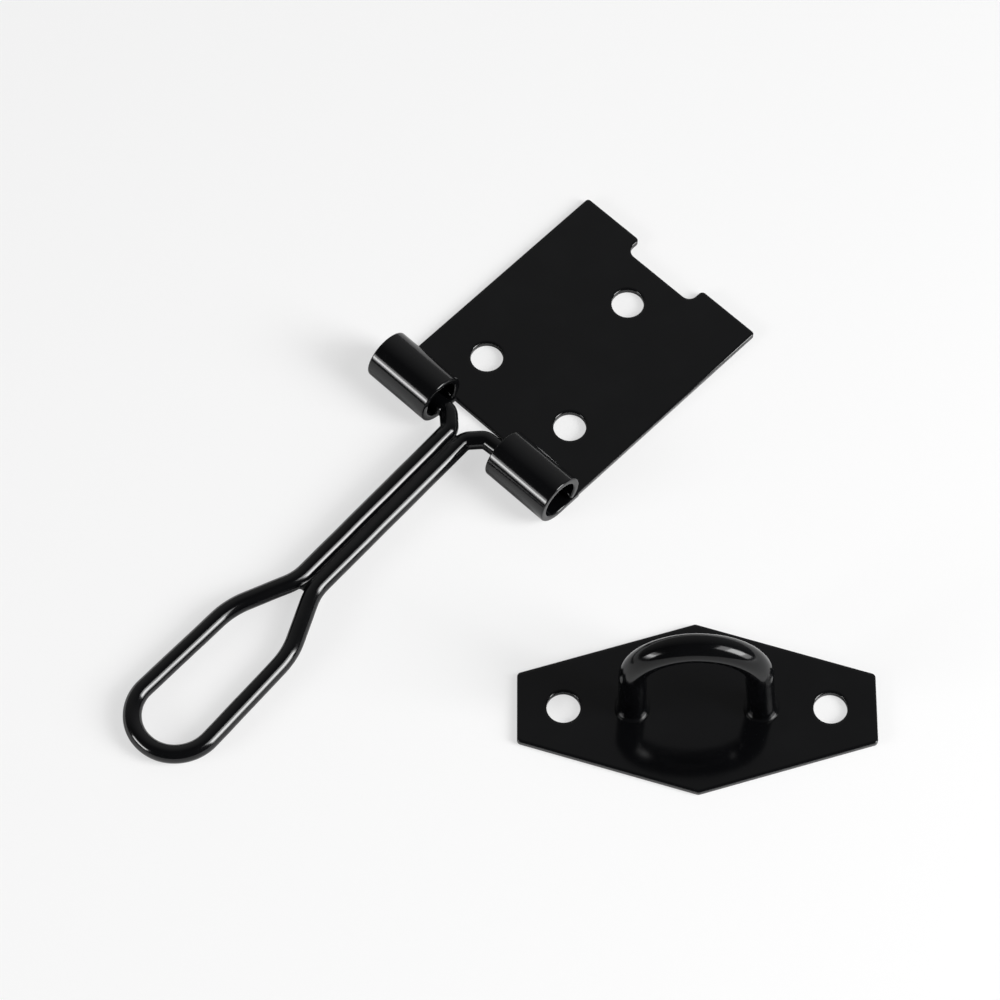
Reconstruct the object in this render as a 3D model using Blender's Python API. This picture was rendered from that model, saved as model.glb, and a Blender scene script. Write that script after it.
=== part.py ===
"""Wire hasp and staple: a rolled-knuckle hinge plate, its swinging wire hasp and a padlock staple.

Metres, +Z up. The origin is on the back face of the hinge plate, halfway between its far edge
and the hinge line. The plate's far edge faces +Y and the hasp lies out towards -Y.
"""
from math import acos, asin, atan2, cos, pi, radians, sin, sqrt, tan

import bmesh
import bpy
from mathutils import Vector

# Hinge plate: one stamped sheet with two rolled knuckles
HINGE_SHEET = 0.0015
PLATE_WIDTH = 0.0500
PLATE_LENGTH = 0.0611
PLATE_CORNER_RADIUS = 0.0008
NOTCH_WIDTH = 0.0187
NOTCH_DEPTH = 0.0040
NOTCH_FILLET_RADIUS = 0.0020
NOTCH_LIP_RADIUS = 0.0010
TOP_HOLE_FROM_EDGE = 0.0137
LOW_HOLES_FROM_AXIS = 0.0163
LOW_HOLE_SPACING = 0.0248
KNUCKLE_BORE = 0.0084
KNUCKLE_SPACING = 0.0185
KNUCKLE_SHIFT = -0.0008
KNUCKLE_SLIT = 0.0003
LEFT_OVERHANG = 0.0017
RIGHT_OVERHANG = 0.0002
PLATE_SETBACK = 0.0041

# Screw holes of both plates
SCREW_HOLE = 0.0070

# Wire hasp: one bent wire, sizes between the wire's centre lines unless said otherwise
WIRE = 0.0040
WIRE_CLEARANCE = 0.0003
PINTLE_REACH = 0.0190
LEG_SPREAD = 0.0106
LEG_ANGLE = radians(45.0)
LEG_BEND_RADIUS = 0.0026
ROOT_BEND_RADIUS = 0.0024
STEM_SLIT = 0.0002
PINTLE_CHAMFER = 0.0004
NECK_FROM_AXIS = 0.0509
NECK_BEND_RADIUS = 0.0080
SHOULDER_FROM_AXIS = 0.0650
SHOULDER_WIDTH = 0.0169
SHOULDER_BEND_RADIUS = 0.0180
TIP_WIDTH = 0.0183
HASP_REACH = 0.1015

# How the hasp lies: askew and to one side in its loose knuckles
HASP_YAW = radians(2.9)
HASP_SHIFT = -0.0024

# Staple plate: a pierced hexagon, its screw holes apart by a share of its length
STAPLE_SHEET = 0.0015
STAPLE_LENGTH = 0.0744
STAPLE_END_WIDTH = 0.0158
STAPLE_MIDDLE_WIDTH = 0.0390
STAPLE_CORNER_RADIUS = 0.0010
STAPLE_HOLE_SHARE = 0.742

# Staple loop: a round bar bent into a slightly leaning U, its feet through the plate and
# upset beneath
BAR = 0.0060
BAR_CLEARANCE = 0.0003
BAR_SPACING = 0.0267
ARCH_SPACING = 0.0259
ARCH_SHIFT = -0.0007
LOOP_HEIGHT = 0.0295
FOOT_HEAD = 0.0080
FOOT_HEAD_DEPTH = 0.0009

# Where the staple lies beside the hinge plate
STAPLE_X = 0.0778
STAPLE_Y = -0.04445
STAPLE_TURN = radians(44.06)

# Fineness of the faceted curves
CORNER_STEP = radians(18.0)
BEND_STEP = radians(7.5)
ROLL_STEP = radians(9.0)
SHARP_ANGLE = radians(30.0)
HOLE_SIDES = 32
WIRE_RESOLUTION = 6
TRIM = 0.0020

# Sizes that follow from the ones above
HINGE_Y = -PLATE_LENGTH / 2
FAR_EDGE_Y = PLATE_LENGTH / 2
KNUCKLE_INNER = KNUCKLE_BORE / 2
KNUCKLE_OUTER = KNUCKLE_INNER + HINGE_SHEET
BORE_Z = KNUCKLE_OUTER
PINTLE_PLAY = KNUCKLE_INNER - WIRE / 2 - WIRE_CLEARANCE
PINTLE_DRIFT = min(PINTLE_REACH * sin(HASP_YAW), PINTLE_PLAY)
PINTLE_Z = BORE_Z - sqrt(PINTLE_PLAY ** 2 - PINTLE_DRIFT ** 2)
STEM_X = (WIRE + STEM_SLIT) / 2
TIP_Y = -(HASP_REACH - WIRE / 2)
HASP_SLOPE = asin((PINTLE_Z - WIRE / 2) / -TIP_Y)


def clear_scene():
    """Removes whatever the file holds."""
    for item in list(bpy.data.objects):
        bpy.data.objects.remove(item, do_unlink=True)


def enamel(name, colour, roughness):
    """Gloss black enamel on steel."""
    material = bpy.data.materials.new(name)
    material.use_nodes = True
    shader = material.node_tree.nodes["Principled BSDF"]
    shader.inputs["Base Color"].default_value = (*colour, 1.0)
    shader.inputs["Roughness"].default_value = roughness
    shader.inputs["Metallic"].default_value = 0.0
    shader.inputs["Coat Weight"].default_value = 0.6
    return material


def place(name, data, parent=None):
    """Adds an object to the scene, under its parent's placing empty if it has one."""
    item = bpy.data.objects.new(name, data)
    bpy.context.scene.collection.objects.link(item)
    item.parent = parent
    return item


def placing_empty(name, location, rotation):
    """An empty that carries a group of pieces."""
    item = place(name, None)
    item.location = location
    item.rotation_euler = rotation
    item.empty_display_size = WIRE
    return item


def arc(centre, radius, start, end, step):
    """Points on an arc from one angle to another, both ends included."""
    count = max(1, round(abs(end - start) / step))
    angles = [start + (end - start) * i / count for i in range(count + 1)]
    return [Vector((centre[0] + radius * cos(a), centre[1] + radius * sin(a))) for a in angles]


def bend(before, corner, after, radius, step):
    """Arc that rounds a corner of a path between its neighbours."""
    before, corner, after = Vector(before), Vector(corner), Vector(after)
    into = (corner - before).normalized()
    out = (after - corner).normalized()
    turn = atan2(into.x * out.y - into.y * out.x, into.dot(out))
    side = 1.0 if turn > 0 else -1.0
    start = corner - into * radius * tan(abs(turn) / 2)
    normal = Vector((-into.y, into.x)) * side
    centre = start + normal * radius
    first = atan2(-normal.y, -normal.x)
    return arc(centre, radius, first, first + turn, step)


def rounded_outline(corners, step=CORNER_STEP):
    """Closed outline from corners given as (x, y, radius)."""
    points = []
    for i, (x, y, radius) in enumerate(corners):
        before = corners[i - 1][:2]
        after = corners[(i + 1) % len(corners)][:2]
        points += bend(before, (x, y), after, radius, step) if radius else [Vector((x, y))]
    return points


def prism(name, outline, low, high, axis="Z", parent=None):
    """Outline extruded along Z, or a (y, z) outline extruded along X."""
    def lay(point, level):
        return (point[0], point[1], level) if axis == "Z" else (level, point[0], point[1])
    mesh = bmesh.new()
    face = mesh.faces.new([mesh.verts.new(lay(point, low)) for point in outline])
    top = bmesh.ops.extrude_face_region(mesh, geom=[face])
    moved = [part for part in top["geom"] if isinstance(part, bmesh.types.BMVert)]
    shift = Vector(lay((0.0, 0.0), high - low))
    bmesh.ops.translate(mesh, verts=moved, vec=shift)
    bmesh.ops.recalc_face_normals(mesh, faces=mesh.faces)
    data = bpy.data.meshes.new(name)
    mesh.to_mesh(data)
    mesh.free()
    return place(name, data, parent)


def turned(mesh, centre, levels):
    """Adds a closed turned body about a vertical axis, from (radius, z) levels going up."""
    rings = []
    for radius, z in levels:
        ring = bmesh.ops.create_circle(mesh, segments=HOLE_SIDES, radius=radius)["verts"]
        bmesh.ops.translate(mesh, verts=ring, vec=(centre[0], centre[1], z))
        rings.append(ring)
    for low, high in zip(rings, rings[1:]):
        for i in range(HOLE_SIDES):
            j = (i + 1) % HOLE_SIDES
            mesh.faces.new((low[i], low[j], high[j], high[i]))
    mesh.faces.new(list(reversed(rings[0])))
    mesh.faces.new(rings[-1])


def cut(item, name, operation, build, parent=None):
    """Gives a piece a Boolean with the hidden cutter that the build function returns."""
    cutter = build(name)
    cutter.parent = parent
    cutter.hide_render = True
    cutter.display_type = "WIRE"
    modifier = item.modifiers.new(name, "BOOLEAN")
    modifier.operation = operation
    modifier.solver = "EXACT"
    modifier.object = cutter


def holes(places):
    """Build function for a cutter of turned holes: (centre, levels) each."""
    def build(name):
        mesh = bmesh.new()
        for centre, levels in places:
            turned(mesh, centre, levels)
        bmesh.ops.recalc_face_normals(mesh, faces=mesh.faces)
        data = bpy.data.meshes.new(name)
        mesh.to_mesh(data)
        mesh.free()
        return place(name, data)
    return build


def straight_hole(diameter, sheet):
    """Levels of a hole straight through a sheet, with room to spare on both sides."""
    return [(diameter / 2, -TRIM), (diameter / 2, sheet + TRIM)]


def shade(item, material):
    """Smooth curved faces, sharp edges, one material."""
    item.data.shade_smooth()
    item.data.set_sharp_from_angle(angle=SHARP_ANGLE)
    item.data.materials.append(material)


def rolled_sheet_profile():
    """Side view of the sheet: flat, then rolled forward, up and back down to its own top."""
    slit_top = HINGE_SHEET + KNUCKLE_SLIT
    wrap = pi * 2 - acos((BORE_Z - slit_top) / KNUCKLE_OUTER)
    centre = (HINGE_Y, BORE_Z)
    bottom = -pi / 2
    outer = arc(centre, KNUCKLE_OUTER, bottom, bottom - wrap, ROLL_STEP)
    inner = arc(centre, KNUCKLE_INNER, bottom - wrap, bottom, ROLL_STEP)
    back = [Vector((FAR_EDGE_Y + TRIM, HINGE_SHEET)), Vector((FAR_EDGE_Y + TRIM, 0.0))]
    return outer + inner + back


def blank_half(side, overhang):
    """Corners of one half of the sheet's plan, from the rolled edge to the notch."""
    half = PLATE_WIDTH / 2
    rolled_from = HINGE_Y + KNUCKLE_OUTER
    return [
        (side * (half + overhang), HINGE_Y - KNUCKLE_OUTER - TRIM, 0.0),
        (side * (half + overhang), rolled_from, 0.0),
        (side * half, rolled_from, 0.0),
        (side * half, FAR_EDGE_Y, PLATE_CORNER_RADIUS),
        (side * NOTCH_WIDTH / 2, FAR_EDGE_Y, NOTCH_LIP_RADIUS),
        (side * NOTCH_WIDTH / 2, FAR_EDGE_Y - NOTCH_DEPTH, NOTCH_FILLET_RADIUS),
    ]


def middle_gap_outline():
    """Side view of what is missing between the knuckles: the roll, and the sheet's front edge."""
    front = HINGE_Y - KNUCKLE_OUTER - TRIM
    setback = HINGE_Y + PLATE_SETBACK
    over_sheet = HINGE_SHEET + KNUCKLE_SLIT / 2
    rear = HINGE_Y + KNUCKLE_OUTER + TRIM
    top = BORE_Z + KNUCKLE_OUTER + TRIM
    below = [(front, -TRIM), (setback, -TRIM), (setback, over_sheet)]
    return below + [(rear, over_sheet), (rear, top), (front, top)]


def make_hinge_plate(material):
    """The sheet with its knuckles rolled, trimmed to the blank's plan and pierced."""
    half = PLATE_WIDTH / 2 + max(LEFT_OVERHANG, RIGHT_OVERHANG) + TRIM
    plate = prism("hinge_plate", rolled_sheet_profile(), -half, half, axis="X")
    top = BORE_Z + KNUCKLE_OUTER + TRIM
    plan = rounded_outline(blank_half(1, RIGHT_OVERHANG) + blank_half(-1, LEFT_OVERHANG)[::-1])
    cut(plate, "blank_plan", "INTERSECT", lambda name: prism(name, plan, -TRIM, top))
    gap = (KNUCKLE_SHIFT - KNUCKLE_SPACING / 2, KNUCKLE_SHIFT + KNUCKLE_SPACING / 2)
    side_view = middle_gap_outline()
    cut(plate, "middle_gap", "DIFFERENCE", lambda name: prism(name, side_view, *gap, axis="X"))
    low_y = HINGE_Y + LOW_HOLES_FROM_AXIS
    centres = [(side * LOW_HOLE_SPACING / 2, low_y) for side in (-1, 1)]
    centres.append((0.0, FAR_EDGE_Y - TOP_HOLE_FROM_EDGE))
    levels = straight_hole(SCREW_HOLE, HINGE_SHEET)
    cut(plate, "hinge_screw_holes", "DIFFERENCE", holes([(centre, levels) for centre in centres]))
    shade(plate, material)


def hasp_half_path():
    """Centre line of the right half of the wire, from the pintle's end to the middle of the tip."""
    leg_x = LEG_SPREAD / 2
    leg_foot = (STEM_X, -(leg_x - STEM_X) / tan(LEG_ANGLE))
    neck = (STEM_X, -NECK_FROM_AXIS)
    shoulder = (SHOULDER_WIDTH / 2, -SHOULDER_FROM_AXIS)
    tip_radius = TIP_WIDTH / 2
    centre = Vector((0.0, TIP_Y + tip_radius))
    to_shoulder = Vector(shoulder) - centre
    meet = atan2(to_shoulder.y, to_shoulder.x) - acos(tip_radius / to_shoulder.length)
    tip = arc(centre, tip_radius, meet, -pi / 2, BEND_STEP)
    corners = [(PINTLE_REACH, 0.0), (leg_x, 0.0), leg_foot, neck, shoulder, tip[0]]
    radii = [LEG_BEND_RADIUS, ROOT_BEND_RADIUS, NECK_BEND_RADIUS, SHOULDER_BEND_RADIUS]
    path = [Vector(corners[0])]
    for i, radius in enumerate(radii, start=1):
        path += bend(corners[i - 1], corners[i], corners[i + 1], radius, BEND_STEP)
    return path + tip


def round_bar(name, points, diameter, ends, parent, material):
    """Bar along 3-D points. Ends are (distance, radius share) rows read from each end inwards."""
    curve = bpy.data.curves.new(name, "CURVE")
    curve.dimensions = "3D"
    curve.twist_mode = "MINIMUM"
    curve.bevel_depth = diameter / 2
    curve.bevel_resolution = WIRE_RESOLUTION
    curve.use_fill_caps = True
    start, finish = points[0], points[-1]
    into_start = (points[1] - start).normalized()
    into_finish = (points[-2] - finish).normalized()
    rows = [(start + into_start * distance, share) for distance, share in ends]
    rows += [(point, 1.0) for point in points[1:-1]]
    rows += [(finish + into_finish * distance, share) for distance, share in reversed(ends)]
    spline = curve.splines.new("POLY")
    spline.points.add(len(rows) - 1)
    for point, (place_at, share) in zip(spline.points, rows):
        point.co = (*place_at, 1.0)
        point.radius = share
    spline.use_smooth = True
    curve.materials.append(material)
    return place(name, curve, parent)


def make_wire_hasp(material):
    """The bent wire on its hinge axis: pintles, legs, twin stem and eye."""
    axis = placing_empty("hinge_axis", (HASP_SHIFT, HINGE_Y, PINTLE_Z), (HASP_SLOPE, 0.0, HASP_YAW))
    half = hasp_half_path()
    path = half + [Vector((-point.x, point.y)) for point in reversed(half[:-1])]
    points = [Vector((point.x, point.y, 0.0)) for point in path]
    ends = [(0.0, 1.0 - 2 * PINTLE_CHAMFER / WIRE), (PINTLE_CHAMFER, 1.0)]
    round_bar("wire_hasp", points, WIRE, ends, axis, material)


def foot_hole_levels():
    """Levels of a hole for the loop's foot: countersunk beneath, straight above."""
    head = FOOT_HEAD / 2 + BAR_CLEARANCE
    bore = BAR / 2 + BAR_CLEARANCE
    slope = (head - bore) / FOOT_HEAD_DEPTH
    return [(head + slope * TRIM, -TRIM), (bore, FOOT_HEAD_DEPTH), (bore, STAPLE_SHEET + TRIM)]


def make_staple_plate(base, material):
    """The hexagon with its screw holes and the two countersunk foot holes."""
    end = (STAPLE_LENGTH / 2, STAPLE_END_WIDTH / 2, STAPLE_CORNER_RADIUS)
    middle = (0.0, STAPLE_MIDDLE_WIDTH / 2, STAPLE_CORNER_RADIUS)
    upper = [end, middle, (-end[0], *end[1:])]
    outline = rounded_outline(upper + [(-x, -y, radius) for x, y, radius in upper])
    plate = prism("staple_plate", outline, 0.0, STAPLE_SHEET, parent=base)
    screw = straight_hole(SCREW_HOLE, STAPLE_SHEET)
    foot = foot_hole_levels()
    places = [((side * STAPLE_LENGTH * STAPLE_HOLE_SHARE / 2, 0.0), screw) for side in (-1, 1)]
    places += [((side * BAR_SPACING / 2, 0.0), foot) for side in (-1, 1)]
    cut(plate, "staple_holes", "DIFFERENCE", holes(places), base)
    shade(plate, material)


def make_staple_loop(base, material):
    """The U of round bar, from one upset foot over the arch to the other."""
    foot_x = BAR_SPACING / 2
    radius = ARCH_SPACING / 2
    arch_z = STAPLE_SHEET + LOOP_HEIGHT - BAR / 2 - radius
    arch = arc((ARCH_SHIFT, arch_z), radius, 0.0, pi, BEND_STEP)
    right_foot = [Vector((foot_x, 0.0)), Vector((foot_x, STAPLE_SHEET))]
    left_foot = [Vector((-foot_x, STAPLE_SHEET)), Vector((-foot_x, 0.0))]
    points = [Vector((point.x, 0.0, point.y)) for point in right_foot + arch + left_foot]
    ends = [(0.0, FOOT_HEAD / BAR), (FOOT_HEAD_DEPTH, 1.0)]
    round_bar("staple_loop", points, BAR, ends, base, material)


def main():
    """Builds the hinge plate, the hasp and the staple."""
    clear_scene()
    make_hinge_plate(enamel("hinge_plate_enamel", (0.010, 0.010, 0.012), 0.30))
    make_wire_hasp(enamel("wire_hasp_enamel", (0.009, 0.009, 0.011), 0.18))
    base = placing_empty("staple_base", (STAPLE_X, STAPLE_Y, 0.0), (0.0, 0.0, STAPLE_TURN))
    make_staple_plate(base, enamel("staple_plate_enamel", (0.010, 0.010, 0.012), 0.32))
    make_staple_loop(base, enamel("staple_loop_enamel", (0.009, 0.009, 0.011), 0.18))


main()
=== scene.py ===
"""Looks of the wire hasp and staple: gloss black enamel over steel sheet, wire and bar.

Metres, +Z up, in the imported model's own frame. Every piece is a surface worked out with numpy:
sheets are outlines with a rolled edge carried round them, and the wire and the bar are rings
carried along a path.
"""
import logging
from dataclasses import dataclass
from enum import Enum
from math import acos, asin, atan2, cos, hypot, pi, radians, sin, sqrt, tan

import bmesh
import bpy
import numpy as np
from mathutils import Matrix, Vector


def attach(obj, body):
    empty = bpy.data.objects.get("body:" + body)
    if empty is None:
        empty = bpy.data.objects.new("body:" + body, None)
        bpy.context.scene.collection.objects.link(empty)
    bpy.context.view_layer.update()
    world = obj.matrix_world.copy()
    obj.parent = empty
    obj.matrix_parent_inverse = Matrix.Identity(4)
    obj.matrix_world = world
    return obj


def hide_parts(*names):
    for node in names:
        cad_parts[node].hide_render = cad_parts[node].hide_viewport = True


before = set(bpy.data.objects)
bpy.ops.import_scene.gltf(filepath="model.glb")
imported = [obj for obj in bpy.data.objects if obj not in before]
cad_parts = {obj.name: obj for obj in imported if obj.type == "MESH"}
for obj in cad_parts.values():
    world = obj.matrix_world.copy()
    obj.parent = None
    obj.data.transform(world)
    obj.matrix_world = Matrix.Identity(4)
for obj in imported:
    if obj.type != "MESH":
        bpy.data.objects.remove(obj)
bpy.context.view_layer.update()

LOG = logging.getLogger("hasp")
MERGE = 1e-7
DUST_VEIL = (0.45, 0.75)
SAG_HEIGHT = 4.0


class Body(Enum):
    """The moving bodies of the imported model."""

    HINGE_PLATE = "hinge_plate"
    WIRE_HASP = "wire_hasp"
    STAPLE = "staple"


class Slot(Enum):
    """The record's material slots."""

    PLATE = "plate_enamel"
    WIRE = "wire_enamel"


@dataclass(frozen=True)
class Placing:
    """Where a sub-assembly's own axes lie: a slope about X, then a turn about Z, then a shift."""

    x: float = 0.0
    y: float = 0.0
    z: float = 0.0
    turn: float = 0.0
    slope: float = 0.0

    def to_frame(self, points: np.ndarray) -> np.ndarray:
        """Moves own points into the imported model's frame: turn * tilt * point + shift.

        Args:
            points: (n, 3) points in the sub-assembly's own axes.

        Returns:
            The points in the frame.
        """
        tilt = np.array([[1, 0, 0], [0, cos(self.slope), -sin(self.slope)],
                         [0, sin(self.slope), cos(self.slope)]])
        turn = np.array([[cos(self.turn), -sin(self.turn), 0],
                         [sin(self.turn), cos(self.turn), 0], [0, 0, 1]])
        return points @ (turn @ tilt).T + np.array([self.x, self.y, self.z])


# Paths and outlines


def arc(centre: tuple[float, float], radius: float, start: float, turn: float,
        step: float) -> np.ndarray:
    """Points on an arc: centre plus radius times (cos, sin) of evenly spaced angles.

    Args:
        centre: the arc's centre.
        radius: its radius.
        start: the first angle.
        turn: the signed angle that it covers.
        step: the largest angle between two points.

    Returns:
        An (n, 2) array, both ends included.
    """
    angles = start + turn * np.linspace(0.0, 1.0, max(2, round(abs(turn) / step) + 1))
    return np.column_stack([centre[0] + radius * np.cos(angles),
                            centre[1] + radius * np.sin(angles)])


def bend(before: tuple, corner: tuple, after: tuple, radius: float, step: float) -> np.ndarray:
    """Rounds one corner of a path with an arc that touches both of its sides.

    Args:
        before: the point before the corner.
        corner: the corner itself.
        after: the point after it.
        radius: radius of the arc, or 0 for a sharp corner.
        step: the largest angle between two points.

    Returns:
        The arc's points, or the corner alone.
    """
    if radius == 0.0:
        return np.array([corner])
    into = np.subtract(corner, before) / np.linalg.norm(np.subtract(corner, before))
    out = np.subtract(after, corner) / np.linalg.norm(np.subtract(after, corner))
    turn = atan2(into[0] * out[1] - into[1] * out[0], float(into @ out))
    normal = np.array([-into[1], into[0]]) * np.sign(turn)
    centre = corner - into * radius * tan(abs(turn) / 2) + normal * radius
    return arc(tuple(centre), radius, atan2(-normal[1], -normal[0]), turn, step)


def rounded_outline(corners: list[tuple[float, float, float]], step: float) -> np.ndarray:
    """Closed outline with each corner rounded by its own arc.

    Args:
        corners: (x, y, radius) of each corner, in order.
        step: the largest angle between two points.

    Returns:
        An (n, 2) array.
    """
    near = [(corners[i - 1][:2], (x, y), corners[(i + 1) % len(corners)][:2], radius)
            for i, (x, y, radius) in enumerate(corners)]
    return np.vstack([bend(*places, step) for places in near])


def circle(centre: tuple[float, float], diameter: float, sides: int) -> np.ndarray:
    """Clockwise circle, as the edge of a hole in a counter-clockwise outline."""
    angles = -2 * pi * np.arange(sides) / sides
    return np.column_stack([centre[0] + diameter / 2 * np.cos(angles),
                            centre[1] + diameter / 2 * np.sin(angles)])


def spread(path: np.ndarray, pitch: float) -> np.ndarray:
    """Splits the longer stretches of an open path evenly.

    A stretch from p to q of length d becomes n = ceil(d / pitch) parts, at p + (q - p) * i / n.

    Args:
        path: (n, 2) points.
        pitch: the longest that a part may be.

    Returns:
        The finer path, with the same ends.
    """
    lengths = np.linalg.norm(np.diff(path, axis=0), axis=1)
    parts = np.maximum(1, np.ceil(lengths / pitch - MERGE)).astype(int)
    along = np.concatenate([np.arange(n) / n for n in parts] + [[0.0]])
    index = np.concatenate([np.repeat(np.arange(len(parts)), parts), [len(parts)]])
    following = np.minimum(index + 1, len(path) - 1)
    return path[index] + (path[following] - path[index]) * along[:, None]


def mitres(loop: np.ndarray) -> np.ndarray:
    """Left-hand direction at each point of a closed loop, long enough to keep edges parallel.

    With n1 and n2 the left-hand normals of the edges before and after a point, it is
    (n1 + n2) / (1 + n1 . n2).

    Args:
        loop: (n, 2) points of the loop.

    Returns:
        An (n, 2) array of directions.
    """
    after = np.roll(loop, -1, axis=0) - loop
    after /= np.linalg.norm(after, axis=1)[:, None]
    left = np.column_stack([-after[:, 1], after[:, 0]])
    before = np.roll(left, 1, axis=0)
    return (left + before) / (1.0 + np.sum(left * before, axis=1))[:, None]


# Meshes


def grid_faces(rows: int, columns: int, closed_rows: bool = False,
               closed_columns: bool = False) -> np.ndarray:
    """Quads of a grid of points numbered row by row.

    Args:
        rows: number of rows.
        columns: number of points in a row.
        closed_rows: whether the last row joins the first.
        closed_columns: whether the last column joins the first.

    Returns:
        An (n, 4) array of point numbers.
    """
    i, j = np.meshgrid(np.arange(rows - (not closed_rows)),
                       np.arange(columns - (not closed_columns)), indexing="ij")
    down, right = (i + 1) % rows, (j + 1) % columns
    quads = [i * columns + j, i * columns + right, down * columns + right, down * columns + j]
    return np.stack(quads, axis=-1).reshape(-1, 4)


def add_patch(mesh: bmesh.types.BMesh, points: np.ndarray, faces: np.ndarray) -> None:
    """Adds points and faces to a mesh that is being put together.

    Args:
        mesh: the mesh.
        points: (n, 3) points.
        faces: (m, 4) numbers of the points of each face.
    """
    data = bpy.data.meshes.new("patch")
    data.from_pydata(points.tolist(), [], faces.tolist())
    mesh.from_mesh(data)
    bpy.data.meshes.remove(data)


def smooth_piece(name: str, mesh: bmesh.types.BMesh, place: Placing) -> bpy.types.Object:
    """Turns a closed mesh into a smooth piece, with its place in its points.

    Args:
        name: the piece's name.
        mesh: the mesh, in the piece's own axes.
        place: where those axes lie in the frame.

    Returns:
        The object, at the origin and unturned.
    """
    bmesh.ops.remove_doubles(mesh, verts=mesh.verts, dist=MERGE)
    bmesh.ops.recalc_face_normals(mesh, faces=mesh.faces)
    if mesh.calc_volume(signed=True) < 0.0:
        bmesh.ops.reverse_faces(mesh, faces=mesh.faces)
    data = bpy.data.meshes.new(name)
    mesh.to_mesh(data)
    mesh.free()
    own = np.empty(len(data.vertices) * 3)
    data.vertices.foreach_get("co", own)
    data.vertices.foreach_set("co", place.to_frame(own.reshape(-1, 3)).ravel())
    data.shade_smooth()
    data.update()
    item = bpy.data.objects.new(name, data)
    bpy.context.scene.collection.objects.link(item)
    return item


@dataclass(frozen=True)
class Edge:
    """Section of a sheet's enamelled edge, from the flat of one face round to the other."""

    radius: float = 0.00032
    band: float = 0.00020
    roll_over: float = 0.00004
    steps: int = 5

    def section(self, sheet: float) -> tuple[np.ndarray, np.ndarray]:
        """Inset from the cut edge and level above the back, from the front face to the back.

        The front is flat, dips a little towards the edge where the punch pulled it, turns down
        a quarter circle, runs straight and turns in a quarter circle to the back.

        Args:
            sheet: the sheet's thickness.

        Returns:
            The insets and the levels.
        """
        quarter = np.linspace(0.0, pi / 2, self.steps + 1)
        top = sheet - self.roll_over
        front_inset = self.radius * (1 - np.sin(quarter))
        front_level = top - self.radius * (1 - np.cos(quarter))
        flat = [self.radius + 2 * self.band, self.radius + self.band]
        inset = np.concatenate([flat, front_inset, front_inset[::-1], flat[::-1]])
        level = np.concatenate([[sheet, sheet], front_level,
                                self.radius * (1 - np.cos(quarter[::-1])), [0.0, 0.0]])
        return inset, level


def edge_rings(loop: np.ndarray, edge: Edge, sheet: float) -> tuple[np.ndarray, np.ndarray]:
    """An edge's section carried round a loop: loop + mitre * inset, at the section's level.

    Args:
        loop: closed outline, with the metal on its left.
        edge: the section.
        sheet: the sheet's thickness.

    Returns:
        Points and faces.
    """
    inset, level = edge.section(sheet)
    flat = loop[None, :, :] + mitres(loop)[None, :, :] * inset[:, None, None]
    height = np.broadcast_to(level[:, None, None], (*flat.shape[:2], 1))
    points = np.concatenate([flat, height], axis=2).reshape(-1, 3)
    return points, grid_faces(len(inset), len(loop), closed_columns=True)


def fill_flats(mesh: bmesh.types.BMesh, levels: tuple[float, ...]) -> None:
    """Fills what is open in a sheet, round its holes, with flat triangles.

    Args:
        mesh: the sheet's edges so far.
        levels: the heights of its two faces.
    """
    bmesh.ops.remove_doubles(mesh, verts=mesh.verts, dist=MERGE)
    for level in levels:
        rim = [e for e in mesh.edges
               if e.is_boundary and all(abs(v.co.z - level) < MERGE for v in e.verts)]
        bmesh.ops.triangle_fill(mesh, edges=rim, use_beauty=True)


def tube(path: np.ndarray, across: np.ndarray, radii: np.ndarray,
         sides: int) -> tuple[np.ndarray, np.ndarray]:
    """A round bar: circles carried along a plane path, still open at both ends.

    A point is path + r(s, a) * (cos a * across + sin a * side), where side is across crossed
    with the path's direction.

    Args:
        path: (n, 3) centre line, in one plane.
        across: the plane's normal.
        radii: (n, sides) radius of each point of each ring.
        sides: points round a ring.

    Returns:
        Points and faces, without the two end faces.
    """
    along = np.gradient(path, axis=0)
    along /= np.linalg.norm(along, axis=1)[:, None]
    side = np.cross(across, along)
    angles = 2 * pi * np.arange(sides) / sides
    ring = (np.cos(angles)[None, :, None] * across[None, None, :]
            + np.sin(angles)[None, :, None] * side[:, None, :])
    points = path[:, None, :] + ring * radii[:, :, None]
    return points.reshape(-1, 3), grid_faces(len(path), sides, closed_columns=True)


def close_ends(mesh: bmesh.types.BMesh) -> None:
    """Closes the open rings of a swept piece, one face each."""
    bmesh.ops.holes_fill(mesh, edges=[e for e in mesh.edges if e.is_boundary])


def distance_along(path: np.ndarray) -> np.ndarray:
    """Distance of each point of a path from its start."""
    return np.concatenate([[0.0], np.cumsum(np.linalg.norm(np.diff(path, axis=0), axis=1))])


@dataclass(frozen=True)
class PaintWaves:
    """Slow hollows of a dipped coat along a bar, no deeper than twice the depth.

    With s = 2 pi * distance / length and a the angle round the bar, the waves are
    sin(s + a) + 0.7 sin(0.61 s - 2 a + 1) + 0.5 sin(1.73 s + a + 2.3), at most 2.2.
    """

    depth: float
    length: float

    def over(self, along: np.ndarray, sides: int) -> np.ndarray:
        """Height of the coat at each ring and angle: depth * (waves / 2.2 - 1).

        Args:
            along: distance of each ring from the bar's start.
            sides: points round a ring.

        Returns:
            An (n, sides) array of heights.
        """
        s = 2 * pi * along[:, None] / self.length
        a = 2 * pi * np.arange(sides)[None, :] / sides
        waves = (np.sin(s + a) + 0.7 * np.sin(0.61 * s - 2 * a + 1.0)
                 + 0.5 * np.sin(1.73 * s + a + 2.3))
        return self.depth * (waves / 2.2 - 1.0)


# Finishes


def add_node(tree: bpy.types.NodeTree, kind: str, **settings: object) -> bpy.types.Node:
    """Adds a node.

    Args:
        tree: the node tree that it goes into.
        kind: its type.
        settings: its properties by name.

    Returns:
        The node.
    """
    node = tree.nodes.new(kind)
    for name, value in settings.items():
        setattr(node, name, value)
    return node


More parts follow.
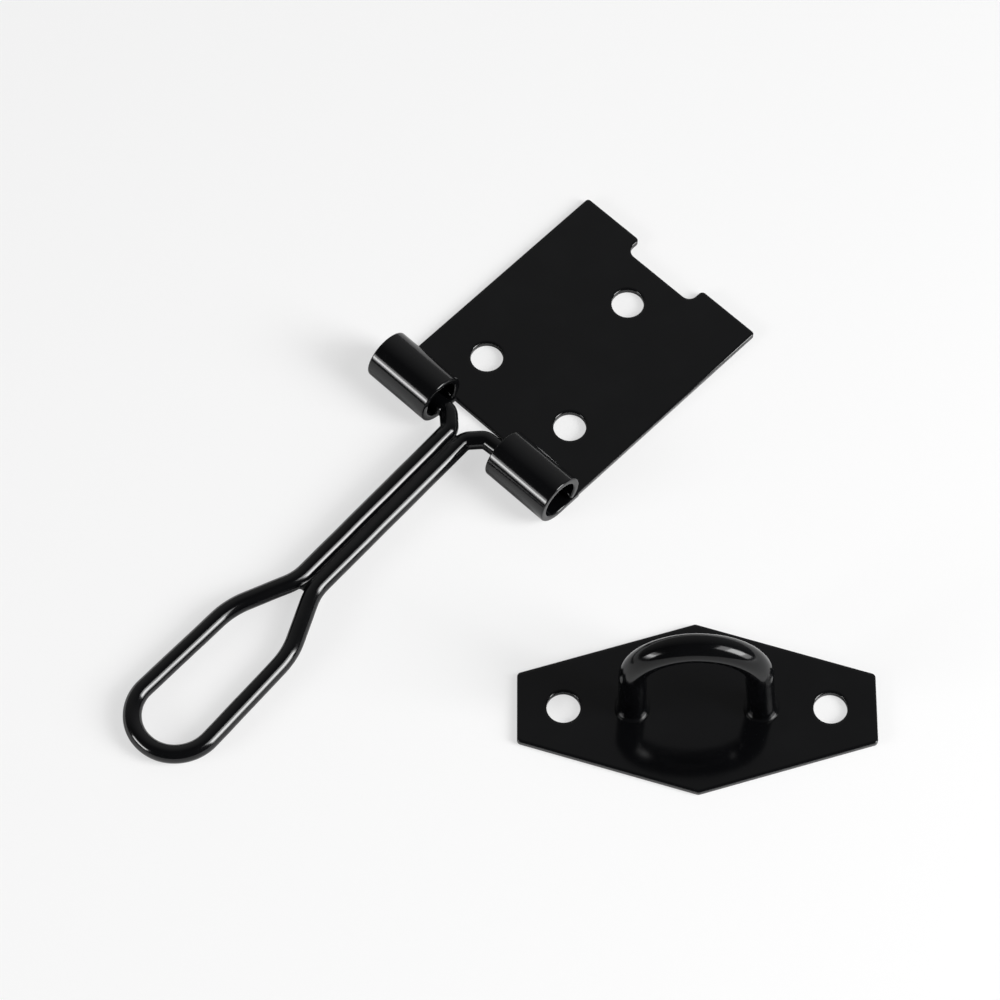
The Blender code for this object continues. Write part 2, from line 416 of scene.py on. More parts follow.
def enamel_skin_group() -> bpy.types.NodeTree:
    """Shader group of a sprayed and baked coat, shared by every enamel.

    Its height is peel + 4 * sag, two noises, its roughness grows by mottle * peel, and its
    colour turns to the dust's where the sag noise passes from the veil's low to its high.

    Returns:
        The group, with inputs Colour, Dust Colour, Dust, Roughness, Mottle, Peel Scale and
        Sag Scale, and outputs Colour, Roughness and Height.
    """
    group = bpy.data.node_groups.new("enamel_skin", "ShaderNodeTree")
    face = group.interface
    for name, kind, value in (
            ("Colour", "NodeSocketColor", (0.01, 0.01, 0.01, 1.0)),
            ("Dust Colour", "NodeSocketColor", (0.05, 0.05, 0.05, 1.0)),
            ("Dust", "NodeSocketFloat", 0.1), ("Roughness", "NodeSocketFloat", 0.2),
            ("Mottle", "NodeSocketFloat", 0.05), ("Peel Scale", "NodeSocketFloat", 900.0),
            ("Sag Scale", "NodeSocketFloat", 120.0)):
        face.new_socket(name, in_out="INPUT", socket_type=kind).default_value = value
    face.new_socket("Colour", in_out="OUTPUT", socket_type="NodeSocketColor")
    face.new_socket("Roughness", in_out="OUTPUT", socket_type="NodeSocketFloat")
    face.new_socket("Height", in_out="OUTPUT", socket_type="NodeSocketFloat")
    given = add_node(group, "NodeGroupInput")
    result = add_node(group, "NodeGroupOutput")
    place = add_node(group, "ShaderNodeTexCoord")
    link = group.links.new

    def noise(scale_input: str, detail: float) -> bpy.types.Node:
        """Adds a noise over the piece's own coordinates.

        Args:
            scale_input: the group's input that gives its scale.
            detail: how many finer layers it has.

        Returns:
            The noise node.
        """
        node = add_node(group, "ShaderNodeTexNoise")
        node.inputs["Detail"].default_value = detail
        link(place.outputs["Object"], node.inputs["Vector"])
        link(given.outputs[scale_input], node.inputs["Scale"])
        return node

    peel = noise("Peel Scale", 2.0)
    sag = noise("Sag Scale", 3.0)
    veil = add_node(group, "ShaderNodeMapRange")
    veil.inputs["From Min"].default_value, veil.inputs["From Max"].default_value = DUST_VEIL
    link(sag.outputs["Fac"], veil.inputs["Value"])
    dust = add_node(group, "ShaderNodeMath", operation="MULTIPLY")
    link(veil.outputs["Result"], dust.inputs[0])
    link(given.outputs["Dust"], dust.inputs[1])
    colour = add_node(group, "ShaderNodeMix", data_type="RGBA")
    link(dust.outputs["Value"], colour.inputs["Factor"])
    link(given.outputs["Colour"], colour.inputs["A"])
    link(given.outputs["Dust Colour"], colour.inputs["B"])
    link(colour.outputs["Result"], result.inputs["Colour"])
    mottle = add_node(group, "ShaderNodeMath", operation="MULTIPLY_ADD")
    link(peel.outputs["Fac"], mottle.inputs[0])
    link(given.outputs["Mottle"], mottle.inputs[1])
    link(given.outputs["Roughness"], mottle.inputs[2])
    link(mottle.outputs["Value"], result.inputs["Roughness"])
    height = add_node(group, "ShaderNodeMath", operation="MULTIPLY_ADD")
    height.inputs[1].default_value = SAG_HEIGHT
    link(sag.outputs["Fac"], height.inputs[0])
    link(peel.outputs["Fac"], height.inputs[2])
    link(height.outputs["Value"], result.inputs["Height"])
    return group


@dataclass(frozen=True)
class Enamel:
    """Black enamel of one batch, with how thickly and evenly it lies."""

    name: str
    colour: tuple[float, float, float] = (0.0021, 0.0022, 0.0026)
    dust_colour: tuple[float, float, float] = (0.016, 0.017, 0.018)
    dust: float = 0.06
    roughness: float = 0.10
    mottle: float = 0.04
    peel_scale: float = 900.0
    sag_scale: float = 120.0
    bump: float = 0.08
    bump_depth: float = 0.00002
    specular: float = 0.5

    def material(self, skin: bpy.types.NodeTree) -> bpy.types.Material:
        """Builds the finish around the shared skin group.

        Args:
            skin: the group that enamel_skin_group gives.

        Returns:
            A material of one Principled shader.
        """
        made = bpy.data.materials.new(self.name)
        made.use_nodes = True
        tree = made.node_tree
        shader = tree.nodes["Principled BSDF"]
        layer = add_node(tree, "ShaderNodeGroup", node_tree=skin)
        layer.inputs["Colour"].default_value = (*self.colour, 1.0)
        layer.inputs["Dust Colour"].default_value = (*self.dust_colour, 1.0)
        for name, value in (("Dust", self.dust), ("Roughness", self.roughness),
                            ("Mottle", self.mottle), ("Peel Scale", self.peel_scale),
                            ("Sag Scale", self.sag_scale)):
            layer.inputs[name].default_value = value
        relief = add_node(tree, "ShaderNodeBump")
        relief.inputs["Strength"].default_value = self.bump
        relief.inputs["Distance"].default_value = self.bump_depth
        tree.links.new(layer.outputs["Height"], relief.inputs["Height"])
        tree.links.new(layer.outputs["Colour"], shader.inputs["Base Color"])
        tree.links.new(layer.outputs["Roughness"], shader.inputs["Roughness"])
        tree.links.new(relief.outputs["Normal"], shader.inputs["Normal"])
        shader.inputs["Specular IOR Level"].default_value = self.specular
        return made


def hand_over(item: bpy.types.Object, body: Body,
              finish: bpy.types.Material) -> None:
    """Dresses a piece in its finish and sets it on its body.

    Args:
        item: the piece.
        body: the body that it rides on.
        finish: the material.
    """
    item.data.materials.append(finish)
    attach(item, body.value)
    LOG.info("%s: %d faces, rides on %s", item.name, len(item.data.polygons), body.value)


# Sub-assemblies


@dataclass
class HingePlate:
    """The stamped sheet: plate, notch, three screw holes and two knuckles rolled from its edge."""

    sheet: float = 0.0015
    width: float = 0.0500
    length: float = 0.0611
    corner_radius: float = 0.0008
    notch_width: float = 0.0187
    notch_depth: float = 0.0040
    notch_fillet: float = 0.0020
    notch_lip: float = 0.0010
    top_hole_from_edge: float = 0.0137
    low_holes_from_axis: float = 0.0163
    low_hole_spacing: float = 0.0248
    screw_hole: float = 0.0070
    bore: float = 0.0084
    gap: float = 0.0185
    gap_shift: float = -0.0008
    slit: float = 0.0003
    left_overhang: float = 0.0017
    right_overhang: float = 0.0002
    setback: float = 0.0041
    corner_step: float = radians(9.0)
    roll_step: float = radians(4.0)
    knuckle_columns: int = 12
    hole_sides: int = 96
    edge: Edge = Edge()

    @property
    def hinge_y(self) -> float:
        """The hinge line, where the flat sheet ends and the roll starts."""
        return -self.length / 2

    @property
    def roll_radius(self) -> float:
        """Radius of the middle of the rolled sheet."""
        return (self.bore + self.sheet) / 2

    @property
    def outer_radius(self) -> float:
        """Radius of a knuckle's outside."""
        return self.bore / 2 + self.sheet

    @property
    def roll_length(self) -> float:
        """Length of a tongue before it is rolled, all the way round to the sheet's own top."""
        rise = self.outer_radius - self.sheet - self.slit
        return self.roll_radius * (2 * pi - acos(rise / self.outer_radius))

    def tongues(self) -> list[tuple[float, float]]:
        """Left and right side of each tongue.

        Returns:
            The left tongue's two sides, then the right tongue's.
        """
        half = self.width / 2
        left = (-half - self.left_overhang, self.gap_shift - self.gap / 2)
        right = (self.gap_shift + self.gap / 2, half + self.right_overhang)
        return [left, right]

    def tongue_rows(self) -> np.ndarray:
        """Levels in Y of a flat tongue's rows, from the hinge line to its free end."""
        count = round(self.roll_length / self.roll_radius / self.roll_step)
        return self.hinge_y - self.roll_length * np.linspace(0.0, 1.0, count + 1)

    def tongue_side(self, x: float, downward: bool) -> np.ndarray:
        """One side of a flat tongue, from the hinge line down or back up to it."""
        rows = self.tongue_rows() if downward else self.tongue_rows()[::-1]
        return np.column_stack([np.full(len(rows), x), rows])

    def tongue_end(self, left: float, right: float) -> np.ndarray:
        """Inner points of a tongue's free end, from left to right."""
        x = np.linspace(left, right, self.knuckle_columns + 1)[1:-1]
        return np.column_stack([x, np.full(len(x), self.hinge_y - self.roll_length)])

    def blank(self) -> np.ndarray:
        """Outline of the flat blank with its two tongues still straight.

        Returns:
            An (n, 2) array, counter-clockwise.
        """
        half, far = self.width / 2, self.length / 2
        stop = self.hinge_y + self.outer_radius
        notch, floor = self.notch_width / 2, far - self.notch_depth
        (left_out, left_in), (right_in, right_out) = self.tongues()
        top = rounded_outline([
            (right_out, stop, 0.0), (half, stop, 0.0), (half, far, self.corner_radius),
            (notch, far, self.notch_lip), (notch, floor, self.notch_fillet),
            (-notch, floor, self.notch_fillet), (-notch, far, self.notch_lip),
            (-half, far, self.corner_radius), (-half, stop, 0.0), (left_out, stop, 0.0)],
            self.corner_step)
        inside = self.hinge_y + self.setback
        return np.vstack([
            top, self.tongue_side(left_out, True), self.tongue_end(left_out, left_in),
            self.tongue_side(left_in, False), [(left_in, inside), (right_in, inside)],
            self.tongue_side(right_in, True), self.tongue_end(right_in, right_out),
            self.tongue_side(right_out, False)])

    def tongue_faces(self, left: float, right: float,
                     level: float) -> tuple[np.ndarray, np.ndarray]:
        """Front or back of a flat tongue inside its edge, as a grid of rows and columns.

        Args:
            left: the tongue's left side.
            right: its right side.
            level: height of this face above the back.

        Returns:
            Points and faces.
        """
        inset = self.edge.section(self.sheet)[0][0]
        x = np.linspace(left, right, self.knuckle_columns + 1)
        y = self.tongue_rows().copy()
        x[0], x[-1], y[-1] = left + inset, right - inset, y[-1] + inset
        across, along = np.meshgrid(x, y)
        points = np.column_stack([across.ravel(), along.ravel(), np.full(across.size, level)])
        return points, grid_faces(len(y), len(x))

    def rolled(self, points: np.ndarray) -> np.ndarray:
        """Rolls what lies past the hinge line.

        A point u past the line turns by u over the sheet's middle radius about the knuckle's
        axis, at the outer radius less its height above the back.

        Args:
            points: (n, 3) points of the flat blank.

        Returns:
            The points after rolling.
        """
        turn = np.maximum(0.0, self.hinge_y - points[:, 1]) / self.roll_radius
        radius = self.outer_radius - points[:, 2]
        past = turn > 0.0
        y = np.where(past, self.hinge_y - radius * np.sin(turn), points[:, 1])
        z = np.where(past, self.outer_radius - radius * np.cos(turn), points[:, 2])
        return np.column_stack([points[:, 0], y, z])

    def hole_places(self) -> list[tuple[float, float]]:
        """Centres of the three screw holes.

        Returns:
            The (x, y) of the one near the far edge, then of the left and the right one.
        """
        low = self.hinge_y + self.low_holes_from_axis
        side = self.low_hole_spacing / 2
        return [(0.0, self.length / 2 - self.top_hole_from_edge), (-side, low), (side, low)]

    def build(self) -> bpy.types.Object:
        """Makes the blank with its enamelled edges, then rolls its tongues.

        Returns:
            The piece.
        """
        mesh = bmesh.new()
        add_patch(mesh, *edge_rings(self.blank(), self.edge, self.sheet))
        for place in self.hole_places():
            rim = circle(place, self.screw_hole, self.hole_sides)
            add_patch(mesh, *edge_rings(rim, self.edge, self.sheet))
        for left, right in self.tongues():
            for level in (0.0, self.sheet):
                add_patch(mesh, *self.tongue_faces(left, right, level))
        fill_flats(mesh, (0.0, self.sheet))
        flat = bpy.data.meshes.new("blank")
        mesh.to_mesh(flat)
        points = np.empty(len(flat.vertices) * 3)
        flat.vertices.foreach_get("co", points)
        flat.vertices.foreach_set("co", self.rolled(points.reshape(-1, 3)).ravel())
        mesh.clear()
        mesh.from_mesh(flat)
        bpy.data.meshes.remove(flat)
        return smooth_piece("rolled_plate", mesh, Placing())

    def dress(self, item: bpy.types.Object, finish: bpy.types.Material) -> None:
        """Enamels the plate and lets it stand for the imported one."""
        hand_over(item, Body.HINGE_PLATE, finish)
        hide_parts("hinge_plate")


@dataclass
class WireHasp:
    """One bent wire: pintles, legs, twin stem, neck and eye, with enamel between the stems."""

    wire: float = 0.0040
    clearance: float = 0.0003
    bore: float = 0.0084
    bore_z: float = 0.0057
    hinge_y: float = -0.03055
    pintle_reach: float = 0.0190
    pintle_chamfer: float = 0.0004
    leg_spread: float = 0.0106
    leg_angle: float = radians(45.0)
    leg_bend: float = 0.0026
    root_bend: float = 0.0024
    stem_slit: float = 0.0002
    neck_from_axis: float = 0.0509
    neck_bend: float = 0.0120
    shoulder_from_axis: float = 0.0650
    shoulder_width: float = 0.0169
    shoulder_bend: float = 0.0180
    tip_width: float = 0.0183
    reach: float = 0.1015
    yaw: float = radians(2.9)
    shift: float = -0.0024
    bend_step: float = radians(3.0)
    pitch: float = 0.0007
    sides: int = 48
    root_web_gap: float = 0.0005
    neck_web_gap: float = 0.0009
    web_share: float = 1.8
    web_bow: float = 0.0006
    web_blend: float = 0.0016
    web_steps: int = 10
    web_stations: int = 800
    lip_steps: int = 5
    waves: PaintWaves = PaintWaves(depth=0.000022, length=0.0130)

    @property
    def stem_x(self) -> float:
        """Distance of each stem wire's centre from the hasp's middle."""
        return (self.wire + self.stem_slit) / 2

    @property
    def tip_y(self) -> float:
        """Centre line of the wire at the tip."""
        return -(self.reach - self.wire / 2)

    def placing(self) -> Placing:
        """The pintles lie low in their bores and the hasp lies on the ground at its tip.

        Returns:
            Where the hasp's own axes lie.
        """
        play = (self.bore - self.wire) / 2 - self.clearance
        drift = min(self.pintle_reach * sin(self.yaw), play)
        pintle_z = self.bore_z - sqrt(play ** 2 - drift ** 2)
        slope = asin((pintle_z - self.wire / 2) / -self.tip_y)
        return Placing(self.shift, self.hinge_y, pintle_z, self.yaw, slope)

    def half_path(self) -> np.ndarray:
        """Centre line of the right half, from the pintle's end to the middle of the tip.

        Returns:
            An (n, 2) array.
        """
        leg_x = self.leg_spread / 2
        shoulder = (self.shoulder_width / 2, -self.shoulder_from_axis)
        tip_radius = self.tip_width / 2
        centre = (0.0, self.tip_y + tip_radius)
        to_shoulder = np.subtract(shoulder, centre)
        meet = (atan2(to_shoulder[1], to_shoulder[0])
                - acos(tip_radius / hypot(*to_shoulder)))
        tip = arc(centre, tip_radius, meet, -pi / 2 - meet, self.bend_step)
        corners = [(self.pintle_reach, 0.0), (leg_x, 0.0),
                   (self.stem_x, -(leg_x - self.stem_x) / tan(self.leg_angle)),
                   (self.stem_x, -self.neck_from_axis), shoulder, tuple(tip[0])]
        radii = [self.leg_bend, self.root_bend, self.neck_bend, self.shoulder_bend]
        bends = [bend(*corners[i:i + 3], radius, self.bend_step)
                 for i, radius in enumerate(radii)]
        return np.vstack([[corners[0]], *bends, tip])

    def path(self) -> np.ndarray:
        """Centre line of the whole wire, right pintle to left pintle, in the hasp's plane.

        Returns:
            An (n, 3) array.
        """
        half = self.half_path()
        whole = np.vstack([half, half[-2::-1] * (-1.0, 1.0)])
        fine = spread(whole, self.pitch)
        return np.column_stack([fine, np.zeros(len(fine))])

    def build_wire(self) -> bpy.types.Object:
        """Carries the wire's ring along its path, with a rounded lip at each sawn end.

        Returns:
            The piece.
        """
        path = self.path()
        lip = self.pintle_chamfer * (1 - np.cos(np.linspace(0.0, pi / 2, self.lip_steps + 1)))
        into = (path[1] - path[0]) / np.linalg.norm(path[1] - path[0])
        out = (path[-2] - path[-1]) / np.linalg.norm(path[-2] - path[-1])
        path = np.vstack([path[0] + lip[:, None] * into, path[2:-2],
                          path[-1] + lip[::-1, None] * out])
        along = distance_along(path)
        from_end = np.minimum(along, along[-1] - along)
        short = np.clip(1 - from_end / self.pintle_chamfer, 0.0, 1.0)
        trim = self.pintle_chamfer * (1 - np.sqrt(1 - short ** 2))
        radii = self.wire / 2 - trim[:, None] + self.waves.over(along, self.sides)
        mesh = bmesh.new()
        add_patch(mesh, *tube(path, np.array([0.0, 0.0, 1.0]), radii, self.sides))
        close_ends(mesh)
        return smooth_piece("hasp_wire", mesh, self.placing())

    def build_web(self) -> bpy.types.Object:
        """Enamel that fills the groove between the stem wires and both of its crotches.

        Where the wires' centres lie a from the middle and their radius is r, a circle of
        radius w = share * (a - r) whose centre lies h = sqrt((r + w)^2 - a^2) above or below
        their plane touches both wires. The web is bounded by the arcs between the touches, and
        stops where half the gap, a - r, passes the widest that enamel bridges. Towards each end
        it draws back by bow * (1 - distance / blend)^2 * (1 - u^2), with u from -1 to 1 across
        it, which leaves a hollow edge.

        Returns:
            The piece.
        """
        inner = self.half_path()
        stem = inner[(inner[:, 1] < -self.wire / 2) & (inner[:, 1] > -self.shoulder_from_axis)]
        y = np.linspace(stem[:, 1].max(), stem[:, 1].min(), self.web_stations)
        order = np.argsort(stem[:, 1])
        a = np.interp(y, stem[order, 1], stem[order, 0])
        near_root = y > -self.neck_from_axis / 2
        kept = a - self.wire / 2 < np.where(near_root, self.root_web_gap, self.neck_web_gap)
        y, a = y[kept], a[kept]
        radius = self.web_share * (a - self.wire / 2)
        reach = self.wire / 2 + radius
        rise = np.sqrt(reach ** 2 - a ** 2)
        u = np.linspace(-1.0, 1.0, self.web_steps + 1)
        angle = np.arcsin(a / reach)[:, None] * u[None, :]
        x = radius[:, None] * np.sin(angle)
        z = rise[:, None] - radius[:, None] * np.cos(angle)
        ring_x = np.hstack([x, x[:, ::-1]])
        ring_z = np.hstack([z, -z[:, ::-1]])
        from_root = np.clip(1 - (y[0] - y) / self.web_blend, 0.0, 1.0)
        from_neck = np.clip(1 - (y - y[-1]) / self.web_blend, 0.0, 1.0)
        drawn = self.web_bow * (from_neck ** 2 - from_root ** 2)
        ring_y = y[:, None] + drawn[:, None] * (1 - np.concatenate([u, u[::-1]]) ** 2)
        points = np.stack([ring_x, ring_y, ring_z], axis=2)
        mesh = bmesh.new()
        add_patch(mesh, points.reshape(-1, 3),
                  grid_faces(len(y), ring_x.shape[1], closed_columns=True))
        close_ends(mesh)
        return smooth_piece("stem_web", mesh, self.placing())

    def build(self) -> list[bpy.types.Object]:
        """Makes the wire and the enamel between its stems."""
        return [self.build_wire(), self.build_web()]

    def dress(self, items: list[bpy.types.Object], finish: bpy.types.Material) -> None:
        """Enamels the wire and its web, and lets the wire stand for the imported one.

        Args:
            items: the wire, then the web.
            finish: their enamel.
        """
        for item in items:
            hand_over(item, Body.WIRE_HASP, finish)
        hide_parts("wire_hasp")


@dataclass
class Staple:
    """The hexagon plate and the U of round bar whose feet pass through it."""

    sheet: float = 0.0015
    length: float = 0.0744
    end_width: float = 0.0158
    middle_width: float = 0.0390
    corner_radius: float = 0.0010
    hole_share: float = 0.742
    screw_hole: float = 0.0070
    bar: float = 0.0060
    bar_clearance: float = 0.0003
    bar_spacing: float = 0.0267
    arch_spacing: float = 0.0259
    arch_shift: float = -0.0007
    loop_height: float = 0.0295
    foot_head: float = 0.0080
    foot_head_depth: float = 0.0009
    ring_radius: float = 0.0006
    ring_wave: float = 0.15
    ring_steps: int = 8
    x: float = 0.0778
    y: float = -0.04445
    turn: float = radians(44.06)
    corner_step: float = radians(9.0)
    bend_step: float = radians(2.5)
    pitch: float = 0.0008
    sides: int = 64
    hole_sides: int = 96
    edge: Edge = Edge()
    waves: PaintWaves = PaintWaves(depth=0.000030, length=0.0170)

    def placing(self) -> Placing:
        """The staple stands beside the hinge plate, turned across it."""
        return Placing(self.x, self.y, 0.0, self.turn)

    def outline(self) -> np.ndarray:
        """The hexagon with its corners rounded.

        Returns:
            An (n, 2) array, counter-clockwise.
        """
        end, rise = self.length / 2, self.end_width / 2
        peak = self.middle_width / 2
        right = [(end, -rise), (end, rise), (0.0, peak)]
        corners = right + [(-x, -y) for x, y in right]
        return rounded_outline([(*corner, self.corner_radius) for corner in corners],
                               self.corner_step)

    def build_plate(self) -> bpy.types.Object:
        """Makes the pierced hexagon. The foot holes lie hidden round the bar.

        Returns:
            The piece.
        """
        mesh = bmesh.new()
        add_patch(mesh, *edge_rings(self.outline(), self.edge, self.sheet))
        foot_hole = self.bar + 2 * self.bar_clearance
        for spacing, diameter in ((self.length * self.hole_share, self.screw_hole),
                                  (self.bar_spacing, foot_hole)):
            for side in (-1, 1):
                rim = circle((side * spacing / 2, 0.0), diameter, self.hole_sides)
                add_patch(mesh, *edge_rings(rim, self.edge, self.sheet))
        fill_flats(mesh, (0.0, self.sheet))
        return smooth_piece("pierced_hexagon", mesh, self.placing())

    def build_bar(self) -> bpy.types.Object:
        """Carries the bar's ring up one leg, over the leaning arch and down the other.

        The radius grows from the bar's to the upset foot's over the foot's own depth.

        Returns:
            The piece.
        """
        foot, radius = self.bar_spacing / 2, self.arch_spacing / 2
        arch_z = self.sheet + self.loop_height - self.bar / 2 - radius
        arch = arc((self.arch_shift, arch_z), radius, 0.0, pi, self.bend_step)
        corners = [[(foot, 0.0), (foot, self.sheet)], arch, [(-foot, self.sheet), (-foot, 0.0)]]
        flat = spread(np.vstack(corners), self.pitch)
        path = np.column_stack([flat[:, 0], np.zeros(len(flat)), flat[:, 1]])
        along = distance_along(path)
        from_end = np.minimum(along, along[-1] - along)
        spare = (self.foot_head - self.bar) / 2
        head = spare * np.clip(1 - from_end / self.foot_head_depth, 0.0, 1.0)
        fade = np.clip(from_end / self.sheet - 1, 0.0, 1.0)
        radii = (self.bar / 2 + head[:, None]
                 + self.waves.over(along, self.sides) * fade[:, None])
        mesh = bmesh.new()
        add_patch(mesh, *tube(path, np.array([0.0, 1.0, 0.0]), radii, self.sides))
        close_ends(mesh)
        return smooth_piece("staple_bar", mesh, self.placing())

    def build_ring(self, side: int) -> bpy.types.Object:
        """Enamel gathered round a foot: a hollow quarter circle turned about the foot.

        Its section runs from the bar, one ring radius above the plate, down to the plate, one
        ring radius out from the bar, and closes under the plate's face. How far out it reaches
        changes round the foot by 1 + wave * sin(2 * angle + side).

        Args:
            side: -1 for the left foot, 1 for the right one.

        Returns:
            The piece.
        """
        angle = np.linspace(0.0, pi / 2, self.ring_steps + 1)
        turn = 2 * pi * np.arange(self.sides) / self.sides
        wide = 1 + self.ring_wave * np.sin(turn * 2 + side)
        out = self.ring_radius * (1 - np.sin(angle))[::-1]
        up = self.ring_radius * (1 - np.cos(angle))[::-1]
        sunk = self.ring_radius / 4
        out = np.concatenate([out, [out[-1], -sunk, -sunk]])
        up = np.concatenate([up, [-sunk, -sunk, up[0]]])
        radius = self.bar / 2 + out[:, None] * np.where(out[:, None] > 0, wide[None, :], 1.0)
        points = np.stack([side * self.bar_spacing / 2 + radius * np.cos(turn),
                           radius * np.sin(turn),
                           np.broadcast_to((self.sheet + up)[:, None], radius.shape)], axis=2)
        mesh = bmesh.new()
        add_patch(mesh, points.reshape(-1, 3),
                  grid_faces(len(out), self.sides, closed_rows=True, closed_columns=True))
        name = "foot_ring_left" if side < 0 else "foot_ring_right"
        return smooth_piece(name, mesh, self.placing())

    def build(self) -> list[bpy.types.Object]:
        """Makes the plate, the bar and the two rings."""
        return [self.build_plate(), self.build_bar(), self.build_ring(-1), self.build_ring(1)]

    def dress(self, items: list[bpy.types.Object], plate_finish: bpy.types.Material,
              bar_finish: bpy.types.Material) -> None:
        """Enamels the staple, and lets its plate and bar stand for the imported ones.

        Args:
            items: the plate, the bar and the two rings.
            plate_finish: the plate's enamel.
            bar_finish: the enamel of the bar and the rings.
        """
        plate, bar, *rings = items
        hand_over(plate, Body.STAPLE, plate_finish)
        for item in (bar, *rings):
            hand_over(item, Body.STAPLE, bar_finish)
        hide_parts("staple_plate")
        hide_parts("staple_loop")


# Studio


@dataclass(frozen=True)
class SoftBox:
    """A rectangular lamp facing the object, from a side and a height as the camera sees them."""

    name: str
    side: float
    height: float
    distance: float
    width: float
    depth: float
    power: float


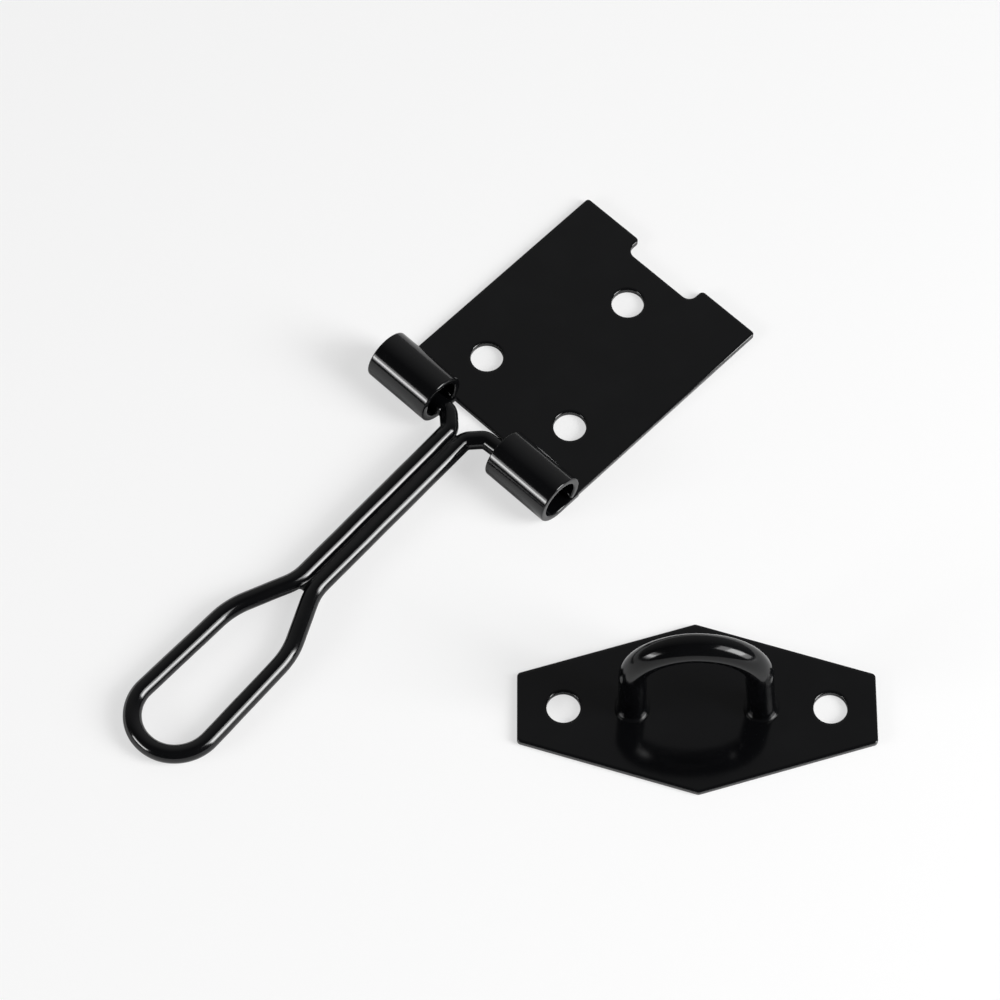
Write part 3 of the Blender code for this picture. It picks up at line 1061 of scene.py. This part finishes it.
@dataclass
class Studio:
    """Pale floor, soft boxes, pale world, and the camera at the photograph's angle."""

    azimuth: float = radians(44.249)
    elevation: float = radians(60.696)
    aim: tuple[float, float, float] = (0.013781, -0.037072, 0.0)
    distance: float = 0.95562
    focal_share: float = 4.5
    sensor: float = 36.0
    floor_drop: float = 0.00005
    floor_radius: float = 2.5
    floor_rings: int = 8
    floor_sides: int = 96
    paper_white: float = 0.90
    paper_lift: float = 0.60
    world_levels: tuple[tuple[float, float], ...] = ((0.10, 0.045), (0.75, 0.28))
    boxes: tuple[SoftBox, ...] = (
        SoftBox("left_box", radians(-66.0), radians(20.0), 1.2, 0.60, 0.42, 3.2),
        SoftBox("left_core", radians(-66.0), radians(19.0), 1.2, 0.55, 0.16, 3.3),
        SoftBox("right_strip", radians(71.0), radians(32.0), 1.2, 0.60, 1.12, 12.4),
        SoftBox("right_core", radians(71.0), radians(30.0), 1.2, 0.50, 0.50, 9.6),
    )

    def toward(self, side: float, height: float) -> Vector:
        """Unit vector from the object, turned sideways from the camera and up from the floor."""
        angle = self.azimuth - pi / 2 + side
        return Vector((cos(angle) * cos(height), sin(angle) * cos(height), sin(height)))

    def stand(self, name: str, data: bpy.types.ID, side: float, height: float,
              distance: float) -> bpy.types.Object:
        """Stands a lamp or the camera at a distance from the aim, facing it.

        Args:
            name: the object's name.
            data: the lamp or the camera.
            side: angle sideways from the camera.
            height: angle up from the floor.
            distance: distance from the aim.

        Returns:
            The object.
        """
        item = bpy.data.objects.new(name, data)
        back = self.toward(side, height)
        item.location = Vector(self.aim) + back * distance
        item.rotation_mode = "QUATERNION"
        item.rotation_quaternion = (-back).to_track_quat("-Z", "Y")
        bpy.context.scene.collection.objects.link(item)
        return item

    def camera(self) -> None:
        """Sets the camera."""
        data = bpy.data.cameras.new("camera")
        data.sensor_width = self.sensor
        data.lens = self.sensor * self.focal_share
        bpy.context.scene.camera = self.stand("camera", data, 0.0, self.elevation, self.distance)

    def lamps(self) -> None:
        """Hangs the soft boxes, each facing the object."""
        for box in self.boxes:
            data = bpy.data.lights.new(box.name, "AREA")
            data.shape = "RECTANGLE"
            data.size, data.size_y, data.energy = box.width, box.depth, box.power
            self.stand(box.name, data, box.side, box.height, box.distance)

    def floor(self) -> None:
        """Lays a pale round floor just under the plates."""
        turn = 2 * pi * np.arange(self.floor_sides) / self.floor_sides
        rings = np.linspace(0.0, self.floor_radius, self.floor_rings + 1)[1:]
        disc = np.stack([self.aim[0] + rings[:, None] * np.cos(turn),
                         self.aim[1] + rings[:, None] * np.sin(turn),
                         np.full((len(rings), len(turn)), -self.floor_drop)], axis=2)
        mesh = bmesh.new()
        add_patch(mesh, disc.reshape(-1, 3),
                  grid_faces(len(rings), len(turn), closed_columns=True))
        edges = [e for e in mesh.edges if e.is_boundary
                 and e.verts[0].co.length < self.floor_radius / 2]
        bmesh.ops.holes_fill(mesh, edges=edges)
        data = bpy.data.meshes.new("floor")
        mesh.to_mesh(data)
        mesh.free()
        item = bpy.data.objects.new("floor", data)
        bpy.context.scene.collection.objects.link(item)
        item.data.materials.append(self.paper())

    def paper(self) -> bpy.types.Material:
        """Matt white paper that the camera sees a little lifted, so that it stays white.

        Returns:
            The material.
        """
        made = bpy.data.materials.new("floor_paper")
        made.use_nodes = True
        tree = made.node_tree
        shader = tree.nodes["Principled BSDF"]
        shader.inputs["Base Color"].default_value = (*[self.paper_white] * 3, 1.0)
        shader.inputs["Roughness"].default_value = 1.0
        shader.inputs["Specular IOR Level"].default_value = 0.0
        lift = add_node(tree, "ShaderNodeEmission")
        rays = add_node(tree, "ShaderNodeLightPath")
        share = add_node(tree, "ShaderNodeMath", operation="MULTIPLY")
        share.inputs[1].default_value = self.paper_lift
        blend = add_node(tree, "ShaderNodeMixShader")
        tree.links.new(rays.outputs["Is Camera Ray"], share.inputs[0])
        tree.links.new(share.outputs["Value"], blend.inputs["Fac"])
        tree.links.new(shader.outputs["BSDF"], blend.inputs[1])
        tree.links.new(lift.outputs["Emission"], blend.inputs[2])
        tree.links.new(blend.outputs["Shader"], tree.nodes["Material Output"].inputs["Surface"])
        return made

    def world(self) -> None:
        """Dim overhead and in front, pale behind the object, and white where the camera looks."""
        world = bpy.data.worlds.new("studio")
        bpy.context.scene.world = world
        world.use_nodes = True
        tree = world.node_tree
        place = add_node(tree, "ShaderNodeTexCoord")
        behind = add_node(tree, "ShaderNodeVectorMath", operation="DOT_PRODUCT")
        behind.inputs[1].default_value = self.toward(pi, 0.0)
        ramp = add_node(tree, "ShaderNodeValToRGB")
        for element, (at, level) in zip(ramp.color_ramp.elements, self.world_levels):
            element.position = at
            element.color = (level, level, level, 1.0)
        rays = add_node(tree, "ShaderNodeLightPath")
        seen = add_node(tree, "ShaderNodeMix", data_type="RGBA")
        seen.inputs["B"].default_value = (1.0, 1.0, 1.0, 1.0)
        tree.links.new(place.outputs["Generated"], behind.inputs[0])
        tree.links.new(behind.outputs["Value"], ramp.inputs["Fac"])
        tree.links.new(rays.outputs["Is Camera Ray"], seen.inputs["Factor"])
        tree.links.new(ramp.outputs["Color"], seen.inputs["A"])
        tree.links.new(seen.outputs["Result"], tree.nodes["Background"].inputs["Color"])

    def build(self) -> None:
        """Sets up the floor, lamps, world and camera."""
        self.floor()
        self.lamps()
        self.world()
        self.camera()
        bpy.context.scene.view_settings.view_transform = "Standard"


def main() -> None:
    """Builds the studio and the three sub-assemblies, and logs each piece's face count."""
    logging.basicConfig(level=logging.INFO, format="%(message)s")
    Studio().build()
    skin = enamel_skin_group()
    plate_enamel = Enamel("plate_enamel", roughness=0.09).material(skin)
    wire_enamel = Enamel("wire_enamel").material(skin)
    bar_enamel = Enamel("bar_enamel", roughness=0.11, specular=0.28).material(skin)
    plate = HingePlate()
    plate.dress(plate.build(), plate_enamel)
    hasp = WireHasp()
    hasp.dress(hasp.build(), wire_enamel)
    staple = Staple()
    staple.dress(staple.build(), plate_enamel, bar_enamel)


if __name__ == "__main__":
    main()
